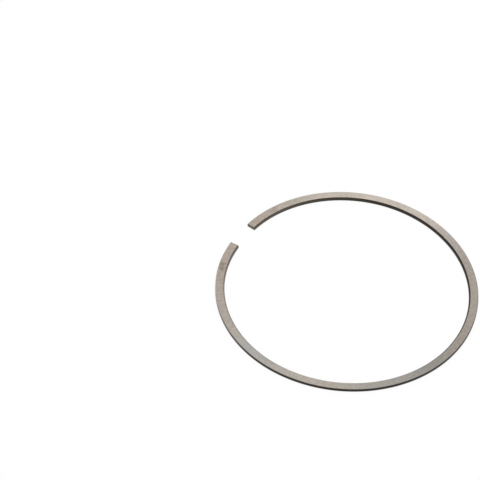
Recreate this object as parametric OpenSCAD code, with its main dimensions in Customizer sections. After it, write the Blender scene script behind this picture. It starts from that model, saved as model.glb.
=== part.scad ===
// Piston ring: a bevelled compression ring in its free state, sprung open at a butt-cut gap.
// Millimetres. The ring lies flat on Z = 0 with its axis along Z and its gap towards -X.
//
// The free shape isn't a circle. A ring that presses evenly on its cylinder is flattest at the back
// and keeps nearly the cylinder's own curve at the tips. Here that line is three arcs, tangent where
// they meet: one half turn at the back and a shorter, tighter arc out to each tip. Pulled together
// until the tips nearly touch, they have just the length that fills the bore.

/* [Ring] */
// Cylinder bore that the closed ring fills
bore_d = 92; // [60:0.5:120]
// Radial thickness, from the inner wall to the running face
radial_t = 3.35; // [2:0.05:4.5]
// Axial height between the two side faces
height = 1.2; // [1:0.05:2.5]

/* [Gap] */
// Opening between the tips when the ring is free, on the neutral line
free_gap = 10.9; // [5:0.1:16]
// Opening that is left between the tips in the bore
closed_gap = 0.3; // [0.15:0.05:0.6]

/* [Edges] */
// How far the barrelled running face falls back at its edges
barrel_drop = 0.01; // [0.005:0.005:0.03]
// Inside bevel along the upper edge of the inner wall, which makes the closed ring dish a little
inner_bevel = 0.5; // [0.3:0.05:0.8]
// Edge break along the lower edge of the inner wall
inner_break = 0.1; // [0.05:0.01:0.3]
// Edge break along the running face
outer_break = 0.15; // [0.05:0.01:0.3]
// Edge break round the two end faces
end_break = 0.08; // [0.04:0.01:0.2]

/* [Hidden] */
// Neutral line of the closed ring: its radius, and half of its length
neutral_r = (bore_d - radial_t) / 2;
half_length = PI * neutral_r - closed_gap / 2;

// Springing the ring open takes this share of the curvature away beside the gap axis,
// twice as much at the back and none at the tips
loss = (free_gap - closed_gap) / (3 * PI * neutral_r);

// The one arc that follows the back half best loses this many of those shares
back_shares = 1.72;

// Outer radius of the back arc. Radii are kept to the micrometre, so that the arcs' ends match.
back_r = micrometre(neutral_r / (1 - back_shares * loss) + radial_t / 2);
back_neutral_r = back_r - radial_t / 2;

// Each tip arc takes up what is left of the half length, and ends half the free gap from the X axis:
// radius * turn = rest_length, and radius * (1 - cos(turn)) = rest_depth
rest_length = half_length - back_neutral_r * PI / 2;
rest_depth = back_neutral_r - free_gap / 2;
tip_turn = solve_turn();
tip_r = micrometre(rest_length / radians(tip_turn) + radial_t / 2);
tip_neutral_r = tip_r - radial_t / 2;

// Centre of a tip arc, beside the centre of the back arc
tip_centre_y = back_r - tip_r;

// Middle of the ring's length along X, which the frame has at zero
middle_x = micrometre((back_r - tip_r * sin(tip_turn)) / 2);

// Radius of the barrelled running face in the section
barrel_r = micrometre((pow(height / 2, 2) + pow(barrel_drop, 2)) / (2 * barrel_drop));

// Facets of a full turn of the ring, and of the barrel's circle
ring_fn = 240;
barrel_fn = 720;

function micrometre(x) = round(x * 1000) / 1000;
function radians(a) = a * PI / 180;

// Turn of a tip arc in degrees, by repeated substitution from a first guess
function solve_turn(turn = 85, rounds = 60) =
    rounds == 0 ? turn : solve_turn(acos(1 - rest_depth / rest_length * radians(turn)), rounds - 1);

// Section of the ring, with its running face at the given radius
module section(r) {
    intersection() {
        polygon([
            [r - radial_t + inner_break, 0],
            [r - outer_break, 0],
            [r - outer_break + height / 2, height / 2],
            [r - outer_break, height],
            [r - radial_t + inner_bevel, height],
            [r - radial_t, height - inner_bevel],
            [r - radial_t, inner_break]
        ]);
        translate([r - barrel_r, height / 2])
            circle(r = barrel_r, $fn = barrel_fn);
    }
}

// Half turn at the back of the ring
module back_arc() {
    rotate_extrude(angle = 180, start = -90, $fn = ring_fn)
        section(back_r);
}

// Arc from the end of the back arc to the tip on the +Y side
module tip_arc() {
    translate([0, tip_centre_y, 0])
        rotate_extrude(angle = tip_turn, start = 90, $fn = ring_fn)
            section(tip_r);
}

// Wedges along the five edges of the end face on the +Y side, each set by a point on the edge and
// the edge's slope. In their own frame X points outward, and Y along the ring and out of the tip.
module end_breaks() {
    side = end_break * sqrt(2);
    edges = [
        [tip_neutral_r, 0, 0],
        [tip_r, height / 2, 90],
        [tip_neutral_r, height, 0],
        [tip_r - radial_t + inner_bevel / 2, height - inner_bevel / 2, 45],
        [tip_r - radial_t, height / 2, 90]
    ];
    translate([0, tip_centre_y, 0])
        rotate([0, 0, 90 + tip_turn])
            for (edge = edges)
                translate([edge[0], 0, edge[1]])
                    rotate([0, -edge[2], 0])
                        rotate([45, 0, 0])
                            cube([2 * radial_t, side, side], center = true);
}

// Its children as they are, and mirrored to the -Y side
module both_sides() {
    children();
    mirror([0, 1, 0])
        children();
}

module piston_ring() {
    color([0.69, 0.66, 0.61])
    translate([-middle_x, 0, 0])
        difference() {
            union() {
                back_arc();
                both_sides()
                    tip_arc();
            }
            both_sides()
                end_breaks();
        }
}

piston_ring();
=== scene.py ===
# %% [markdown]
# # A sprung piston ring
# This lesson dresses one piston ring: a flat band of steel, little more than a millimetre thick, bent
# round to an open ring. It is a plain object, so everything hangs on three things: the true free
# shape, a crisp section with its inside bevel, and three finishes that meet along sharp edges. The two
# flat sides are ground bright, the walls and the cut ends keep a dark brown oxide, and the bevels are
# turned and left dull.

# %% Load the frame
from math import acos, cos, degrees, pi, radians, sin

import bmesh
import bpy
from mathutils import Matrix, Vector


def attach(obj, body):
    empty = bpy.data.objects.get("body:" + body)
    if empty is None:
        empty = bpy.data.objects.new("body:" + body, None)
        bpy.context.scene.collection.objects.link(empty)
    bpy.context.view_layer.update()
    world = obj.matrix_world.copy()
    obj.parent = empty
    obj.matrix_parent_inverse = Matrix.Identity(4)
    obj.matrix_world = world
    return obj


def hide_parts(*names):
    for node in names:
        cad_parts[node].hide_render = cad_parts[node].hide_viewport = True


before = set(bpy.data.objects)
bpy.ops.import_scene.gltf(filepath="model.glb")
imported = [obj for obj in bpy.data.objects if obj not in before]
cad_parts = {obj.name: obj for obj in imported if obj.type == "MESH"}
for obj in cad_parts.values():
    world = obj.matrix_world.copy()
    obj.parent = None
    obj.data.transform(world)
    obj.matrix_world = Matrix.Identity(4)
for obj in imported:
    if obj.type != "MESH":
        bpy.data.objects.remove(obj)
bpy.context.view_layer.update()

MM = 0.001
scene = bpy.context.scene
scene.view_settings.view_transform = "Standard"
print("CAD nodes:", list(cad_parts))

# %% [markdown]
# ## The sizes of the ring
# A piston ring is named by the bore that it fills, its radial thickness and its height. The other
# sizes are small: the inside bevel, the broken edges and a running face that is barrelled by a
# hundredth of a millimetre. They are written once here, in metres, and everything else follows.

# %% Sizes
bore = 92 * MM
wall = 3.35 * MM
height = 1.2 * MM
free_gap = 10.9 * MM
closed_gap = 0.3 * MM
inside_bevel = 0.5 * MM
inner_break = 0.1 * MM
outer_break = 0.15 * MM
end_break = 0.08 * MM
barrel_drop = 0.01 * MM
print(f"A {bore / MM:.0f} mm ring, {wall / MM:.2f} x {height / MM:.1f} mm in section")

# %% [markdown]
# ## The free shape
# A ring that was cut from a circle would press hard at its tips and hardly at all beside them. A
# real one is made out of round, so that it becomes a circle, and presses evenly, only when it is
# squeezed into its bore. Free, it is flattest at the back. Three arcs follow that line to a tenth
# of a millimetre: half a turn at the back and a tighter arc out to each tip, with a common tangent
# where they meet. The tip arcs' turn has no closed formula, so a short loop homes in on it.

# %% Three arcs of the free ring
neutral = (bore - wall) / 2
half_length = pi * neutral - closed_gap / 2

# Springing open takes this share of the curvature away a quarter turn from the back, twice as much
# at the back and none at the tips. The one arc that follows the back half best loses 1.72 shares.
lost_share = (free_gap - closed_gap) / (3 * pi * neutral)
back_shares = 1.72
back_neutral = neutral / (1 - back_shares * lost_share)

rest_length = half_length - back_neutral * pi / 2
rest_depth = back_neutral - free_gap / 2
first_guess = radians(85)
rounds = 60
tip_turn = first_guess
for _ in range(rounds):
    tip_turn = acos(1 - rest_depth / rest_length * tip_turn)

back_radius = back_neutral + wall / 2
tip_radius = rest_length / tip_turn + wall / 2
middle = (back_radius - tip_radius * sin(tip_turn)) / 2
print(f"Back arc {back_radius / MM:.3f} mm, tip arcs {tip_radius / MM:.3f} mm")
print(f"Each tip arc turns by {degrees(tip_turn):.2f} degrees")

# %% [markdown]
# ## Helpers for node trees
# Node trees are quicker to read when a node, its settings and its links stand together. The first
# helper makes a node, sets its properties, and fills each named input: a socket is linked, and
# anything else becomes the input's own value. The second does one step of arithmetic.

# %% Node helpers
def add(tree, kind, inputs=None, **settings):
    node = tree.nodes.new(kind)
    for name, value in settings.items():
        setattr(node, name, value)
    for key, value in (inputs or {}).items():
        if isinstance(value, bpy.types.NodeSocket):
            tree.links.new(value, node.inputs[key])
        else:
            node.inputs[key].default_value = value
    return node


def calc(tree, operation, *values):
    return add(tree, "ShaderNodeMath", dict(enumerate(values)), operation=operation).outputs[0]


print("Node helpers ready")

# %% [markdown]
# ## The ring as a sweep
# The ring could be modelled by extruding a profile along a hand-drawn path, but its shape follows a
# rule, so Geometry Nodes build it. A straight line is resampled into many stations, and each station
# is moved to its place on the three arcs: the angle runs from one tip through the back to the other.
# Past a quarter turn the smaller radius and the shifted centre take over. Every size is an input.

# %% Tree inputs
sweep = bpy.data.node_groups.new("ring_sweep", "GeometryNodeTree")
sweep.interface.new_socket("Geometry", in_out="OUTPUT", socket_type="NodeSocketGeometry")
ring_sizes = {
    "Back Radius": back_radius, "Tip Radius": tip_radius, "Tip Turn": tip_turn, "Middle": middle,
    "Wall": wall, "Height": height, "Inside Bevel": inside_bevel, "Inner Break": inner_break,
    "Outer Break": outer_break, "Barrel Drop": barrel_drop,
}


def new_inputs(names, kind):
    return [sweep.interface.new_socket(name, in_out="INPUT", socket_type=kind) for name in names]


sweep_inputs = new_inputs(ring_sizes, "NodeSocketFloat")
sweep_inputs += new_inputs(["Stations"], "NodeSocketInt")
sweep_inputs += new_inputs(["Side Finish", "Wall Finish", "Bevel Finish"], "NodeSocketMaterial")
size = add(sweep, "NodeGroupInput").outputs
print("The sweep has", len(sweep_inputs), "inputs")

# %% Line of the ring
def times(a, b):
    return calc(sweep, "MULTIPLY", a, b)


def minus(a, b):
    return calc(sweep, "SUBTRACT", a, b)


share = add(sweep, "GeometryNodeSplineParameter").outputs["Factor"]
end_angle = calc(sweep, "ADD", size["Tip Turn"], pi / 2)
angle = times(calc(sweep, "MULTIPLY_ADD", share, 2, -1), end_angle)
on_tip = calc(sweep, "GREATER_THAN", calc(sweep, "ABSOLUTE", angle), pi / 2)
tip_shift = minus(size["Back Radius"], size["Tip Radius"])
radius = minus(size["Back Radius"], times(on_tip, tip_shift))
centre_y = times(times(on_tip, calc(sweep, "SIGN", angle)), tip_shift)
station = add(sweep, "ShaderNodeCombineXYZ", {
    "X": minus(times(radius, calc(sweep, "COSINE", angle)), size["Middle"]),
    "Y": calc(sweep, "ADD", times(radius, calc(sweep, "SINE", angle)), centre_y),
})
straight = add(sweep, "GeometryNodeCurvePrimitiveLine", {"End": (1, 0, 0)})
stations = add(sweep, "GeometryNodeResampleCurve", {
    "Curve": straight.outputs[0], "Count": size["Stations"],
}, mode="COUNT")
bent = add(sweep, "GeometryNodeSetPosition", {
    "Geometry": stations.outputs[0], "Position": station.outputs[0],
})
line = add(sweep, "GeometryNodeSetCurveNormal", {"Curve": bent.outputs[0]}, mode="Z_UP")
print("Line of the ring:", len(sweep.nodes), "nodes")

# %% [markdown]
# ## The section
# The section starts as a plain rectangle. Curve to Mesh will lay its X axis outward and its Y axis
# down, so the top of the ring is at minus its height. A fillet with one segment is a straight
# chamfer, and its radius can differ from corner to corner, so one Fillet Curve node makes the large
# inside bevel and the three small edge breaks. The running face, the fourth side of the chamfered
# outline, is then subdivided and its points are drawn in towards the edges, which gives it the
# slight barrel that keeps the oil film.

# %% Section with its bevel and edge breaks
def corner(x, y):
    return add(sweep, "ShaderNodeCombineXYZ", {"X": x, "Y": y}).outputs[0]


inner_x = times(size["Wall"], -1)
top_y = times(size["Height"], -1)
blank = add(sweep, "GeometryNodeCurvePrimitiveQuadrilateral", {
    "Point 1": corner(inner_x, 0), "Point 2": corner(0, 0),
    "Point 3": corner(0, top_y), "Point 4": corner(inner_x, top_y),
}, mode="POINTS")
cuts = ("Inner Break", "Outer Break", "Outer Break", "Inside Bevel")
index = add(sweep, "GeometryNodeInputIndex").outputs[0]
cut = add(sweep, "GeometryNodeIndexSwitch", {"Index": index}, data_type="FLOAT")
while len(cut.index_switch_items) < len(cuts):
    cut.index_switch_items.new()
for number, name in enumerate(cuts, start=1):
    sweep.links.new(size[name], cut.inputs[number])
chamfered = add(sweep, "GeometryNodeFilletCurve", {
    "Curve": blank.outputs[0], "Count": 1, "Radius": cut.outputs[0],
}, mode="POLY")
print("Cuts from corner to corner:", cuts)

# %% Barrelled running face
running_side = 3
face_cuts = 5
on_running_side = calc(sweep, "COMPARE", index, running_side, 0.5)
fine = add(sweep, "GeometryNodeSubdivideCurve", {
    "Curve": chamfered.outputs[0], "Cuts": times(on_running_side, face_cuts),
})
position = add(sweep, "GeometryNodeInputPosition").outputs[0]
place = add(sweep, "ShaderNodeSeparateXYZ", {0: position}).outputs
middle_y = times(top_y, 0.5)
from_middle = calc(sweep, "DIVIDE", minus(place["Y"], middle_y), middle_y)
fall = times(calc(sweep, "POWER", from_middle, 2), size["Barrel Drop"])
micrometre = 0.001 * MM
section = add(sweep, "GeometryNodeSetPosition", {
    "Geometry": fine.outputs[0],
    "Selection": calc(sweep, "GREATER_THAN", place["X"], -micrometre),
    "Offset": corner(times(fall, -1), 0),
})
print("Section:", len(sweep.nodes), "nodes so far")

# %% [markdown]
# ## Skin and finishes of the sweep
# Curve to Mesh draws the section along the line and closes both ends. The finishes then go by slope,
# which the normal's Z tells: everything starts with the oxide of the walls, slanted faces become
# turned bevels, and faces that look straight up or down are ground.

# %% Skin
skin = add(sweep, "GeometryNodeCurveToMesh", {
    "Curve": line.outputs[0], "Profile Curve": section.outputs[0], "Fill Caps": True,
})
real = add(sweep, "GeometryNodeRealizeInstances", {"Geometry": skin.outputs[0]})
normal = add(sweep, "GeometryNodeInputNormal").outputs[0]
normal_z = add(sweep, "ShaderNodeSeparateXYZ", {0: normal}).outputs["Z"]
slope = calc(sweep, "ABSOLUTE", normal_z)
geometry = real.outputs[0]
for finish, least_slope in (("Wall Finish", -1), ("Bevel Finish", 0.5), ("Side Finish", 0.9)):
    geometry = add(sweep, "GeometryNodeSetMaterial", {
        "Geometry": geometry, "Material": size[finish],
        "Selection": calc(sweep, "GREATER_THAN", slope, least_slope),
    }).outputs[0]
add(sweep, "NodeGroupOutput", {"Geometry": geometry})
print("Whole sweep:", len(sweep.nodes), "nodes")

# %% [markdown]
# ## The ground sides
# The sides are ground between two large discs. Each disc leaves fine arcs, and because the ring turns
# on its way through, the two sets cross. Noise in one dimension, read by the distance from a point
# far outside the ring, draws such arcs. Under them the tone of the steel drifts: broad clouds between
# tan and grey, smaller ones between warm and cool, small patches of olive where the steel has been
# handled, and fine specks of lighter and darker steel all over. All are noise on Object coordinates
# with a fixed seed, so they stay on the ring.

# %% Ground steel: grinding scratches
def empty_tree(block):
    block.use_nodes = True
    block.node_tree.nodes.clear()
    return block.node_tree


def object_place(tree):
    return add(tree, "ShaderNodeTexCoord").outputs["Object"]


def distance_from(tree, point, centre):
    node = add(tree, "ShaderNodeVectorMath", {0: point, 1: centre}, operation="DISTANCE")
    return node.outputs["Value"]


def average(tree, first, second):
    return calc(tree, "MULTIPLY", calc(tree, "ADD", first, second), 0.5)


ground_steel = bpy.data.materials.new("ground_steel")
steel = empty_tree(ground_steel)
on_side = object_place(steel)


def grinding_arcs(centre, spacing):
    arcs = add(steel, "ShaderNodeTexNoise", {
        "W": distance_from(steel, on_side, centre), "Scale": 1 / spacing, "Detail": 8, "Roughness": 0.78,
    }, noise_dimensions="1D")
    return arcs.outputs["Fac"]


first_disc = grinding_arcs(centre=(-150 * MM, 110 * MM, 0), spacing=0.7 * MM)
second_disc = grinding_arcs(centre=(120 * MM, 160 * MM, 0), spacing=0.6 * MM)
scratches = average(steel, first_disc, second_disc)
print("Scratches:", len(steel.nodes), "nodes")

# %% Ground steel: clouds
def clouds(scale, seed, detail):
    noise = add(steel, "ShaderNodeTexNoise", {
        "Vector": on_side, "W": seed, "Scale": scale, "Detail": detail,
    }, noise_dimensions="4D")
    return noise.outputs["Fac"]


broad_tone = clouds(scale=14, seed=236.5, detail=1)
small_tone = clouds(scale=30, seed=1249.5, detail=1)
patches = clouds(scale=140, seed=3, detail=3)
specks = clouds(scale=800, seed=8, detail=4)
print("Scratches and clouds:", len(steel.nodes), "nodes")

# %% Ground steel: colour
def ramp(tree, value, low, high, start=0.0, end=1.0):
    sockets = {"Value": value, "From Min": low, "From Max": high, "To Min": start, "To Max": end}
    return add(tree, "ShaderNodeMapRange", sockets).outputs["Result"]


# A Mix node has sockets for several kinds of data: 6 and 7 take its colours, output 2 gives the blend.
def blend_colour(tree, factor, first, second, kind="MIX"):
    colours = [(*colour, 1) if isinstance(colour, tuple) else colour for colour in (first, second)]
    sockets = {0: factor, 6: colours[0], 7: colours[1]}
    return add(tree, "ShaderNodeMix", sockets, data_type="RGBA", blend_type=kind).outputs[2]


tan, grey, olive = (0.403, 0.348, 0.304), (0.261, 0.246, 0.222), (0.3, 0.283, 0.231)
cool, warm = (0.9, 0.932, 0.963), (1.082, 1.056, 1.03)
tone = blend_colour(steel, ramp(steel, broad_tone, 0.29, 0.67), grey, tan)
tint = blend_colour(steel, ramp(steel, small_tone, 0.28, 0.67), cool, warm)
tone = blend_colour(steel, 1.0, tone, tint, "MULTIPLY")
tone = blend_colour(steel, ramp(steel, patches, 0.5, 0.8, end=0.5), tone, olive)
scratch_shade = ramp(steel, scratches, 0.3, 0.7, start=0.82, end=1.18)
speck_shade = ramp(steel, specks, 0.3, 0.7, start=0.88, end=1.12)
shade = calc(steel, "MULTIPLY", scratch_shade, speck_shade)
tone = blend_colour(steel, 1.0, tone, shade, "MULTIPLY")
print("Tones:", tan, grey, olive)

# %% [markdown]
# ## Stains and painted shade on the ground sides
# A ring is held by its tips, with fingers and with ring pliers, and that leaves a few dull brown
# stains on the upper side. Farther along, one wide patch is greyer than the rest: painted shade and
# reflection. Each is a blot round a point. Fine noise is added to the distance before it is turned
# into strength, so the blot gets a ragged edge and no two look alike.

# %% Ground steel: stains and painted shade
dull_brown, painted_shade_grey = (0.209, 0.174, 0.122), (0.31, 0.311, 0.304)
blot_rag = 2.4 * MM
blot_core = 0.2
speck_swing = calc(steel, "SUBTRACT", specks, 0.5)

# Each stain, and the patch of painted shade, has its middle and its reach, both in millimetres, its
# strength and its colour.
stains_and_shade = [
    ((-43.5, -16.4), 1.3, 0.75, dull_brown),
    ((-42.8, -18.3), 1.5, 0.85, dull_brown),
    ((-42.8, 17.1), 1.8, 0.3, dull_brown),
    # Painted shade and reflection: one wide greyer patch.
    ((-14, -44.4), 10, 0.5, painted_shade_grey),
]
for (x, y), reach, strength, stain_and_shade_colour in stains_and_shade:
    distance = distance_from(steel, on_side, (x * MM, y * MM, height))
    ragged = calc(steel, "MULTIPLY_ADD", speck_swing, blot_rag, distance)
    spread = ramp(steel, ragged, blot_core * reach * MM, reach * MM, start=strength, end=0)
    tone = blend_colour(steel, spread, tone, stain_and_shade_colour)
print(len(stains_and_shade), "stains_and_shade")

# %% [markdown]
# ## Shader of the ground sides
# Lapping after the grinding leaves the finest scratches of all, round and round the ring. They are
# too fine to draw, but they stretch every highlight across the band. An anisotropic shader does
# that, with its tangent running round the ring's axis. Roughness follows the scratches and patches,
# and the scratches are two thousandths of a millimetre deep.

# %% Ground steel: shader
patch_share = 0.4
uneven = calc(steel, "MULTIPLY_ADD", patches, patch_share, scratches)
relief = add(steel, "ShaderNodeBump", {
    "Strength": 0.2, "Distance": 2 * micrometre, "Height": scratches,
})
round_axis = add(steel, "ShaderNodeTangent", direction_type="RADIAL", axis="Z")
metal = add(steel, "ShaderNodeBsdfPrincipled", {
    "Base Color": tone, "Metallic": 1.0,
    "Roughness": ramp(steel, uneven, 0.4, 1.0, start=0.3, end=0.5),
    "Anisotropic": 0.8, "Anisotropic Rotation": 0.25,
    "Normal": relief.outputs[0], "Tangent": round_axis.outputs[0],
})
add(steel, "ShaderNodeOutputMaterial", {"Surface": metal.outputs[0]})
print("Ground steel:", len(steel.nodes), "nodes")

# %% [markdown]
# ## The oxide walls
# The running face, the inner wall and the cut ends are turned or sawn and then left with a thin
# brown-black oxide. Fine turning lines run along them, so the noise is squeezed in height. The
# oxide is worn paler in a thin ragged line along both edges of the running face, kept to the outer
# wall, which lies farther from the axis than the bore's radius. Round the gap the walls are made
# paler as well, a painted reflection that fades out with the distance.

# %% Oxide: turning lines
def turning_lines(tree, point, along, across):
    squeezed = add(tree, "ShaderNodeMapping", {"Vector": point, "Scale": (along, along, across)})
    sockets = {"Vector": squeezed.outputs[0], "Scale": 1, "Detail": 3}
    return add(tree, "ShaderNodeTexNoise", sockets).outputs["Fac"]


oxide_wall = bpy.data.materials.new("oxide_wall")
oxide = empty_tree(oxide_wall)
on_wall = object_place(oxide)
turned = turning_lines(oxide, on_wall, along=150, across=9000)
mottle = add(oxide, "ShaderNodeTexNoise", {
    "Vector": on_wall, "Scale": 320, "Detail": 4, "Roughness": 0.6,
}).outputs["Fac"]
print("Turning lines:", len(oxide.nodes), "nodes")

# %% Oxide: wear and painted reflection
def outside(tree, point):
    return calc(tree, "GREATER_THAN", distance_from(tree, point, (0, 0, 0)), bore / 2)


def fade_from(tree, point, centre, reach):
    return calc(tree, "EXPONENT", calc(tree, "DIVIDE", distance_from(tree, point, centre), -reach))


edge_rag = 0.1 * MM
level = add(oxide, "ShaderNodeSeparateXYZ", {0: on_wall}).outputs["Z"]
from_half = calc(oxide, "ABSOLUTE", calc(oxide, "SUBTRACT", level, height / 2))
from_edge = calc(oxide, "SUBTRACT", height / 2 - outer_break, from_half)
ragged_edge = calc(oxide, "MULTIPLY_ADD", mottle, -edge_rag, from_edge)
worn_line = ramp(oxide, ragged_edge, -0.05 * MM, 0.03 * MM, start=0.25, end=0)
edge_wear = calc(oxide, "MULTIPLY", outside(oxide, on_wall), worn_line)

# Painted reflection: round the gap the walls are made paler, fading with the distance.
gap_middle = (-45 * MM, 0, height / 2)
gap_reflection_reach = 26 * MM
painted_gap_reflection = fade_from(oxide, on_wall, gap_middle, gap_reflection_reach)
print("Wear:", len(oxide.nodes), "nodes so far")

# %% Oxide: colour and shader
dark, brown = (0.004, 0.0028, 0.0018), (0.018, 0.0135, 0.0092)
worn, gap_reflection_colour = (0.18, 0.158, 0.126), (0.13, 0.108, 0.088)
lines = average(oxide, turned, mottle)
coat = blend_colour(oxide, ramp(oxide, lines, 0.38, 0.62), dark, brown)
coat = blend_colour(oxide, edge_wear, coat, worn)
# The painted reflection round the gap.
coat = blend_colour(oxide, painted_gap_reflection, coat, gap_reflection_colour)
grain = add(oxide, "ShaderNodeBump", {
    "Strength": 0.15, "Distance": 20 * micrometre, "Height": turned,
})
oxide_skin = add(oxide, "ShaderNodeBsdfPrincipled", {
    "Base Color": coat, "Specular IOR Level": 0.15, "Normal": grain.outputs[0],
    "Roughness": ramp(oxide, turned, 0.3, 0.7, start=0.22, end=0.36),
})
add(oxide, "ShaderNodeOutputMaterial", {"Surface": oxide_skin.outputs[0]})
print("Oxide:", len(oxide.nodes), "nodes")

# %% [markdown]
# ## The turned bevels
# The inside bevel and the small edge breaks are turned, and neither ground nor polished. They are a
# dark, dull metal with tool lines along the ring. The lines are read by height, because on a slope
# height and distance across change together. Beside one tip the bevel gets a strong painted highlight,
# and beside the other a faint one; it fades into the brown along the ring. Beside the first tip the
# outer edge gets a bright painted highlight as well. A specular tint below white keeps the bevel from
# shining like a mirror where it is seen at a flat angle.

# %% Bevel: tool lines and painted highlights
turned_bevel = bpy.data.materials.new("turned_bevel")
bevel = empty_tree(turned_bevel)
on_bevel = object_place(bevel)
tool_lines = turning_lines(bevel, on_bevel, along=120, across=12000)

# Each painted highlight spot has its middle and its reach, both in millimetres, and its strength.
highlight_spots = [((-36.5, -28.6), 25, 1.15), ((-41.5, 16.6), 18, 0.12)]
painted_highlight = 0.0
for (x, y), reach, strength in highlight_spots:
    fade = fade_from(bevel, on_bevel, (x * MM, y * MM, height), reach * MM)
    painted_highlight = calc(bevel, "MULTIPLY_ADD", fade, strength, painted_highlight)

# Painted highlight: the outer edge beside the first tip is made bright.
edge_highlight_middle = (-40 * MM, -26 * MM, height)
edge_highlight_reach = 10 * MM
edge_highlight_fade = fade_from(bevel, on_bevel, edge_highlight_middle, edge_highlight_reach)
painted_edge_highlight = calc(bevel, "MULTIPLY", outside(bevel, on_bevel), edge_highlight_fade)
# Both the spots and the edge are painted highlights.
print(len(highlight_spots), "rubbed spots and a polished edge")

# %% Bevel: colour and shader
line_share = ramp(bevel, tool_lines, 0.3, 0.7)
dull = blend_colour(bevel, line_share, (0.021, 0.0158, 0.0118), (0.046, 0.0348, 0.0261))
highlight_steel = blend_colour(bevel, line_share, (0.209, 0.183, 0.157), (0.278, 0.252, 0.218))
edge_highlight_colour = (0.62, 0.57, 0.5)
# The painted highlights beside the tips and on the outer edge.
bevel_colour = blend_colour(bevel, painted_highlight, dull, highlight_steel)
bevel_colour = blend_colour(bevel, painted_edge_highlight, bevel_colour, edge_highlight_colour)
bevel_metal = add(bevel, "ShaderNodeBsdfPrincipled", {
    "Base Color": bevel_colour, "Metallic": 1.0, "Specular Tint": (0.9, 0.9, 0.9, 1),
    "Roughness": ramp(bevel, tool_lines, 0.3, 0.7, start=0.28, end=0.42),
})
add(bevel, "ShaderNodeOutputMaterial", {"Surface": bevel_metal.outputs[0]})
print("Bevel:", len(bevel.nodes), "nodes")

# %% [markdown]
# ## From nodes to a plain mesh
# The modifier's inputs are set before the tree first runs, by the identifiers of its sockets. The
# evaluated result is then copied to a mesh of its own. That leaves an ordinary object to finish by
# hand, and it is what other programs can read.

# %% Evaluate the sweep
maker = bpy.data.objects.new("ring_maker", bpy.data.meshes.new("ring_maker"))
scene.collection.objects.link(maker)
modifier = maker.modifiers.new("Ring sweep", "NODES")
modifier.node_group = sweep
values = {
    **ring_sizes, "Stations": 721,
    "Side Finish": ground_steel, "Wall Finish": oxide_wall, "Bevel Finish": turned_bevel,
}
for socket in sweep_inputs:
    modifier[socket.identifier] = values[socket.name]
evaluated = maker.evaluated_get(bpy.context.evaluated_depsgraph_get())
ring_mesh = bpy.data.meshes.new_from_object(evaluated)
ring_mesh.name = "sprung_ring"
bpy.data.objects.remove(maker)
ring = bpy.data.objects.new("sprung_ring", ring_mesh)
scene.collection.objects.link(ring)
print("Swept ring:", len(ring_mesh.vertices), "points,", [m.name for m in ring_mesh.materials])

# %% [markdown]
# ## The cut ends
# The ends are sawn square, and their edges are stoned so that they don't scratch the bore. On the
# mesh these edges are the rims of the two end caps, the only faces with many corners, so they are
# easy to find and to bevel. Sharp edges are then marked by angle: the round walls shade smoothly and
# every chamfer keeps its crisp border.

# %% Break the edges of the ends
work = bmesh.new()
work.from_mesh(ring_mesh)
caps = [face for face in work.faces if len(face.verts) > 4]
rims = list({edge for cap in caps for edge in cap.edges})
bmesh.ops.bevel(
    work, geom=rims, offset=end_break, offset_type="OFFSET", segments=2, profile=0.5, affect="EDGES",
)
bmesh.ops.recalc_face_normals(work, faces=work.faces)
volume = work.calc_volume()
work.to_mesh(ring_mesh)
work.free()
crisp_angle = radians(20)
ring_mesh.shade_smooth()
ring_mesh.set_sharp_from_angle(angle=crisp_angle)
print(f"{len(caps)} end faces; the ring holds {volume / MM ** 3:.1f} cubic millimetres")

# %% [markdown]
# ## The floor
# The ring lies on a white table. The white is the floor's own colour, lifted for the rays that the
# camera and the metal see. Ambient occlusion takes the lift back where the ring is close, so the
# thin shadow under its edge stays. The floor is one large triangle, because a square has a seam along
# its diagonal, and the occlusion would draw it as a faint line. It lies a hair below the ring, so that
# the two never fight for the same pixels.

# %% White floor
floor_radius = 8
floor_drop = 0.01 * MM
bpy.ops.mesh.primitive_circle_add(
    vertices=3, radius=floor_radius, fill_type="NGON", location=(0, 0, -floor_drop),
)
floor = bpy.context.object
floor.name = "white_floor"
white_table = bpy.data.materials.new("white_table")
floor.data.materials.append(white_table)
print("Floor of", [round(d, 2) for d in floor.dimensions[:2]], "metres")

# %% White of the floor
shadow_reach = 0.15 * MM
lift = 0.94
table = empty_tree(white_table)
ray = add(table, "ShaderNodeLightPath").outputs
seen = calc(table, "MAXIMUM", ray["Is Camera Ray"], ray["Is Glossy Ray"])
seen = calc(table, "MAXIMUM", seen, ray["Is Transmission Ray"])
paper = add(table, "ShaderNodeBsdfDiffuse", {"Color": (0.92, 0.92, 0.92, 1)})
open_sky = add(table, "ShaderNodeAmbientOcclusion", {"Distance": shadow_reach}).outputs["AO"]
glow = add(table, "ShaderNodeEmission", {"Color": (1, 1, 1, 1), "Strength": open_sky})
lifted = add(table, "ShaderNodeMixShader", {
    0: calc(table, "MULTIPLY", seen, lift), 1: paper.outputs[0], 2: glow.outputs[0],
})
add(table, "ShaderNodeOutputMaterial", {"Surface": lifted.outputs[0]})
print("White of the floor:", len(table.nodes), "nodes")

# %% [markdown]
# ## The camera
# The camera looks down on the ring from about 47 degrees, far away through a long lens, and is
# tilted a little. The ring sits low and to the right in the picture. Its place is set by a single
# point: the middle of the ring, at a pixel that was worked out from the photograph.

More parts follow.
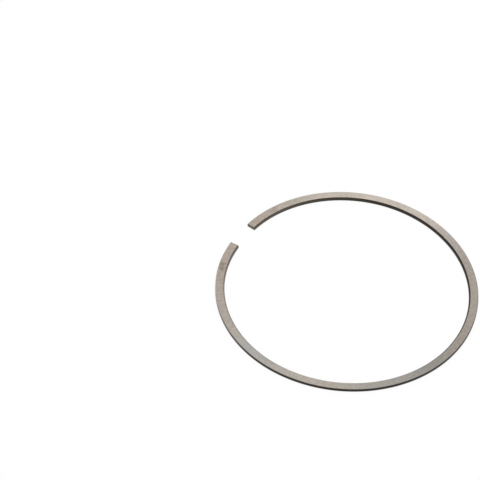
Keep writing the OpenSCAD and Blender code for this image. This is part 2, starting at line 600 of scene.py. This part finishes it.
# %% Directions of the camera
azimuth, elevation, roll = radians(30.324), radians(47.238), radians(3.872)
up = Vector((0, 0, 1))
away = Vector((-sin(azimuth), cos(azimuth), 0))
forward = cos(elevation) * away - sin(elevation) * up
level_right = Vector((cos(azimuth), sin(azimuth), 0))
level_down = -sin(elevation) * away - cos(elevation) * up
right = cos(roll) * level_right - sin(roll) * level_down
down = sin(roll) * level_right + cos(roll) * level_down
print("The camera looks along", [round(part, 3) for part in forward])

# %% Camera
pixels = 480
focal_pixels = 3000
back_radius_pixels = 132.896
ring_pixel = Vector((347.376, 290.208))
camera = bpy.data.objects.new("camera", bpy.data.cameras.new("camera"))
scene.collection.objects.link(camera)
scene.camera = camera
camera.data.lens = camera.data.sensor_width * focal_pixels / pixels
offset = (ring_pixel - Vector((pixels - 1, pixels - 1)) / 2) / focal_pixels
camera_distance = focal_pixels * back_radius / back_radius_pixels
camera_place = -camera_distance * (forward + offset.x * right + offset.y * down)
camera_axes = Matrix((right, -down, -forward)).transposed()
camera.matrix_world = Matrix.Translation(camera_place) @ camera_axes.to_4x4()
print(f"Camera {camera_distance:.3f} m away, lens {camera.data.lens:.0f} mm")

# %% [markdown]
# ## Light
# The room is an even white tent, so the metal shows the colour that it was given from every side.
# One soft lamp stands low behind the ring. Its light is spread across the lapping scratches, so it
# reaches the camera from the far and near parts of the ring, where they lie square to the view, and
# hardly from the left and right. That is what makes the band look like metal and not like card.

# %% Tent and lamp
tent = bpy.data.worlds.new("white_tent")
scene.world = tent
room = empty_tree(tent)
cloth = add(room, "ShaderNodeBackground", {"Color": (1, 1, 1, 1), "Strength": 1.0})
add(room, "ShaderNodeOutputWorld", {"Surface": cloth.outputs[0]})

lamp = bpy.data.lights.new("back_lamp", "AREA")
lamp.shape = "DISK"
lamp.size = 0.5
lamp.energy = 2.64
back_lamp = bpy.data.objects.new("back_lamp", lamp)
back_lamp.location = 0.12 * level_right + 1.05 * away + 0.52 * up
back_lamp.rotation_euler = (-back_lamp.location).to_track_quat("-Z", "Y").to_euler()
scene.collection.objects.link(back_lamp)
print(f"A lamp of {lamp.energy:.2f} W, {back_lamp.location.length:.2f} m away")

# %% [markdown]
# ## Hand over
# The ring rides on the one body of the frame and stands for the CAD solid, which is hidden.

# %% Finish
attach(ring, "root")
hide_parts("piston_ring")
